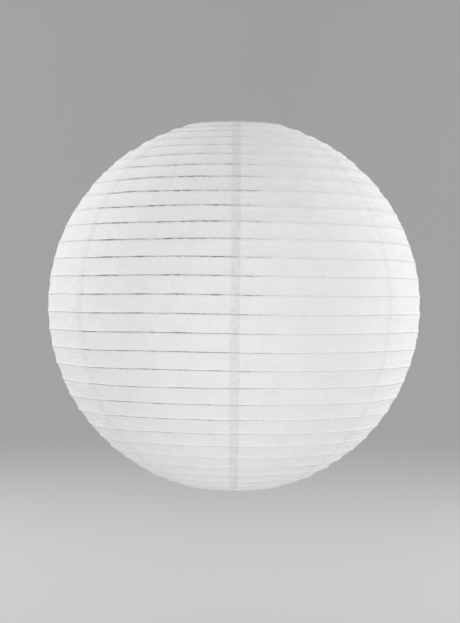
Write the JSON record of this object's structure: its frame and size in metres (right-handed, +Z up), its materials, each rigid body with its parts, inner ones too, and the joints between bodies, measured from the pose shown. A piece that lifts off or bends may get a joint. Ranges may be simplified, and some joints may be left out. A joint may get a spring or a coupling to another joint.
{
  "type": "accordion paper lantern",
  "caption": "Round white accordion paper lantern on level wire ribs, stretched by an inner wire expander with a hanging eye; its globe folds flat.",
  "frame": {"origin": "centre of the expander's hanging eye", "axes": "+Z up along the globe's axis, +X along the crossbar to the right leg"},
  "size_m": [0.4004, 0.4004, 0.3936],
  "materials": {
    "paper": "matte, translucent",
    "rib_wire": "dull drawn wire",
    "ring_wire": "satin drawn wire",
    "expander_wire": "bright zinc plate"
  },
  "bodies": {
    "frame_top": {"expander_bridge": "expander_wire", "top_ring": "ring_wire"},
    "leg_left": {"expander_leg_left": "expander_wire"},
    "leg_right": {"expander_leg_right": "expander_wire"},
    "fold_01": {"rib_01": "rib_wire", "paper_band_01": "paper"},
    "fold_02": {"rib_02": "rib_wire", "paper_band_02": "paper"},
    "fold_03": {"rib_03": "rib_wire", "paper_band_03": "paper"},
    "fold_04": {"rib_04": "rib_wire", "paper_band_04": "paper"},
    "fold_05": {"rib_05": "rib_wire", "paper_band_05": "paper"},
    "fold_06": {"rib_06": "rib_wire", "paper_band_06": "paper"},
    "fold_07": {"rib_07": "rib_wire", "paper_band_07": "paper"},
    "fold_08": {"rib_08": "rib_wire", "paper_band_08": "paper"},
    "fold_09": {"rib_09": "rib_wire", "paper_band_09": "paper"},
    "fold_10": {"rib_10": "rib_wire", "paper_band_10": "paper"},
    "fold_11": {"rib_11": "rib_wire", "paper_band_11": "paper"},
    "fold_12": {"rib_12": "rib_wire", "paper_band_12": "paper"},
    "fold_13": {"rib_13": "rib_wire", "paper_band_13": "paper"},
    "fold_14": {"rib_14": "rib_wire", "paper_band_14": "paper"},
    "fold_15": {"rib_15": "rib_wire", "paper_band_15": "paper", "paper_band_16": "paper"},
    "fold_16": {"rib_16": "rib_wire", "paper_band_17": "paper"},
    "fold_17": {"rib_17": "rib_wire", "paper_band_18": "paper"},
    "fold_18": {"rib_18": "rib_wire", "paper_band_19": "paper"},
    "fold_19": {"rib_19": "rib_wire", "paper_band_20": "paper"},
    "fold_20": {"rib_20": "rib_wire", "paper_band_21": "paper"},
    "fold_21": {"rib_21": "rib_wire", "paper_band_22": "paper"},
    "fold_22": {"rib_22": "rib_wire", "paper_band_23": "paper"},
    "fold_23": {"rib_23": "rib_wire", "paper_band_24": "paper"},
    "fold_24": {"rib_24": "rib_wire", "paper_band_25": "paper"},
    "fold_25": {"rib_25": "rib_wire", "paper_band_26": "paper"},
    "fold_26": {"rib_26": "rib_wire", "paper_band_27": "paper"},
    "fold_27": {"rib_27": "rib_wire", "paper_band_28": "paper"},
    "fold_28": {"rib_28": "rib_wire", "paper_band_29": "paper"},
    "bottom_mouth": {"bottom_ring": "ring_wire"}
  },
  "joints": [
    {"name": "fold_01_rise", "type": "slide", "parent": "frame_top", "child": "fold_01", "axis": [0, 0, 1], "range_m": [0, 0.00481]},
    {"name": "fold_02_rise", "type": "slide", "parent": "fold_01", "child": "fold_02", "axis": [0, 0, 1], "range_m": [0, 0.00617]},
    {"name": "fold_03_rise", "type": "slide", "parent": "fold_02", "child": "fold_03", "axis": [0, 0, 1], "range_m": [0, 0.0075]},
    {"name": "fold_04_rise", "type": "slide", "parent": "fold_03", "child": "fold_04", "axis": [0, 0, 1], "range_m": [0, 0.00881]},
    {"name": "fold_05_rise", "type": "slide", "parent": "fold_04", "child": "fold_05", "axis": [0, 0, 1], "range_m": [0, 0.01009]},
    {"name": "fold_06_rise", "type": "slide", "parent": "fold_05", "child": "fold_06", "axis": [0, 0, 1], "range_m": [0, 0.01133]},
    {"name": "fold_07_rise", "type": "slide", "parent": "fold_06", "child": "fold_07", "axis": [0, 0, 1], "range_m": [0, 0.01252]},
    {"name": "fold_08_rise", "type": "slide", "parent": "fold_07", "child": "fold_08", "axis": [0, 0, 1], "range_m": [0, 0.01364]},
    {"name": "fold_09_rise", "type": "slide", "parent": "fold_08", "child": "fold_09", "axis": [0, 0, 1], "range_m": [0, 0.01467]},
    {"name": "fold_10_rise", "type": "slide", "parent": "fold_09", "child": "fold_10", "axis": [0, 0, 1], "range_m": [0, 0.01561]},
    {"name": "fold_11_rise", "type": "slide", "parent": "fold_10", "child": "fold_11", "axis": [0, 0, 1], "range_m": [0, 0.01641]},
    {"name": "fold_12_rise", "type": "slide", "parent": "fold_11", "child": "fold_12", "axis": [0, 0, 1], "range_m": [0, 0.01707]},
    {"name": "fold_13_rise", "type": "slide", "parent": "fold_12", "child": "fold_13", "axis": [0, 0, 1], "range_m": [0, 0.01757]},
    {"name": "fold_14_rise", "type": "slide", "parent": "fold_13", "child": "fold_14", "axis": [0, 0, 1], "range_m": [0, 0.0179]},
    {"name": "fold_15_rise", "type": "slide", "parent": "fold_14", "child": "fold_15", "axis": [0, 0, 1], "range_m": [0, 0.01743]},
    {"name": "fold_16_rise", "type": "slide", "parent": "fold_15", "child": "fold_16", "axis": [0, 0, 1], "range_m": [0, 0.01738]},
    {"name": "fold_17_rise", "type": "slide", "parent": "fold_16", "child": "fold_17", "axis": [0, 0, 1], "range_m": [0, 0.01774]},
    {"name": "fold_18_rise", "type": "slide", "parent": "fold_17", "child": "fold_18", "axis": [0, 0, 1], "range_m": [0, 0.01731]},
    {"name": "fold_19_rise", "type": "slide", "parent": "fold_18", "child": "fold_19", "axis": [0, 0, 1], "range_m": [0, 0.01671]},
    {"name": "fold_20_rise", "type": "slide", "parent": "fold_19", "child": "fold_20", "axis": [0, 0, 1], "range_m": [0, 0.01596]},
    {"name": "fold_21_rise", "type": "slide", "parent": "fold_20", "child": "fold_21", "axis": [0, 0, 1], "range_m": [0, 0.01506]},
    {"name": "fold_22_rise", "type": "slide", "parent": "fold_21", "child": "fold_22", "axis": [0, 0, 1], "range_m": [0, 0.01405]},
    {"name": "fold_23_rise", "type": "slide", "parent": "fold_22", "child": "fold_23", "axis": [0, 0, 1], "range_m": [0, 0.01294]},
    {"name": "fold_24_rise", "type": "slide", "parent": "fold_23", "child": "fold_24", "axis": [0, 0, 1], "range_m": [0, 0.01174]},
    {"name": "fold_25_rise", "type": "slide", "parent": "fold_24", "child": "fold_25", "axis": [0, 0, 1], "range_m": [0, 0.01047]},
    {"name": "fold_26_rise", "type": "slide", "parent": "fold_25", "child": "fold_26", "axis": [0, 0, 1], "range_m": [0, 0.00915]},
    {"name": "fold_27_rise", "type": "slide", "parent": "fold_26", "child": "fold_27", "axis": [0, 0, 1], "range_m": [0, 0.00779]},
    {"name": "fold_28_rise", "type": "slide", "parent": "fold_27", "child": "fold_28", "axis": [0, 0, 1], "range_m": [0, 0.0064]},
    {"name": "bottom_mouth_rise", "type": "slide", "parent": "fold_28", "child": "bottom_mouth", "axis": [0, 0, 1], "range_m": [0, 0.00497]},
    {"name": "leg_left_squeeze", "type": "hinge", "parent": "frame_top", "child": "leg_left", "pos_m": [-0.04925, 0, -0.00895], "axis": [0, -1, 0], "range_deg": [0, 5.5], "stiffness_Nm_per_rad": 3.1, "springref_deg": -2.86},
    {"name": "leg_right_squeeze", "type": "hinge", "parent": "frame_top", "child": "leg_right", "pos_m": [0.04925, 0, -0.00895], "axis": [0, 1, 0], "range_deg": [0, 5.5], "stiffness_Nm_per_rad": 3.1, "springref_deg": -2.86}
  ],
  "couplings": [
    {"joint": "fold_01_rise", "follows": "bottom_mouth_rise", "ratio": 0.96773},
    {"joint": "fold_02_rise", "follows": "bottom_mouth_rise", "ratio": 1.2414},
    {"joint": "fold_03_rise", "follows": "bottom_mouth_rise", "ratio": 1.5103},
    {"joint": "fold_04_rise", "follows": "bottom_mouth_rise", "ratio": 1.774},
    {"joint": "fold_05_rise", "follows": "bottom_mouth_rise", "ratio": 2.0314},
    {"joint": "fold_06_rise", "follows": "bottom_mouth_rise", "ratio": 2.2809},
    {"joint": "fold_07_rise", "follows": "bottom_mouth_rise", "ratio": 2.5199},
    {"joint": "fold_08_rise", "follows": "bottom_mouth_rise", "ratio": 2.7455},
    {"joint": "fold_09_rise", "follows": "bottom_mouth_rise", "ratio": 2.9539},
    {"joint": "fold_10_rise", "follows": "bottom_mouth_rise", "ratio": 3.1413},
    {"joint": "fold_11_rise", "follows": "bottom_mouth_rise", "ratio": 3.3036},
    {"joint": "fold_12_rise", "follows": "bottom_mouth_rise", "ratio": 3.4368},
    {"joint": "fold_13_rise", "follows": "bottom_mouth_rise", "ratio": 3.5374},
    {"joint": "fold_14_rise", "follows": "bottom_mouth_rise", "ratio": 3.6025},
    {"joint": "fold_15_rise", "follows": "bottom_mouth_rise", "ratio": 3.5094},
    {"joint": "fold_16_rise", "follows": "bottom_mouth_rise", "ratio": 3.4987},
    {"joint": "fold_17_rise", "follows": "bottom_mouth_rise", "ratio": 3.5707},
    {"joint": "fold_18_rise", "follows": "bottom_mouth_rise", "ratio": 3.4849},
    {"joint": "fold_19_rise", "follows": "bottom_mouth_rise", "ratio": 3.3646},
    {"joint": "fold_20_rise", "follows": "bottom_mouth_rise", "ratio": 3.2126},
    {"joint": "fold_21_rise", "follows": "bottom_mouth_rise", "ratio": 3.0326},
    {"joint": "fold_22_rise", "follows": "bottom_mouth_rise", "ratio": 2.8284},
    {"joint": "fold_23_rise", "follows": "bottom_mouth_rise", "ratio": 2.604},
    {"joint": "fold_24_rise", "follows": "bottom_mouth_rise", "ratio": 2.3628},
    {"joint": "fold_25_rise", "follows": "bottom_mouth_rise", "ratio": 2.1083},
    {"joint": "fold_26_rise", "follows": "bottom_mouth_rise", "ratio": 1.8429},
    {"joint": "fold_27_rise", "follows": "bottom_mouth_rise", "ratio": 1.5689},
    {"joint": "fold_28_rise", "follows": "bottom_mouth_rise", "ratio": 1.2876}
  ]
}
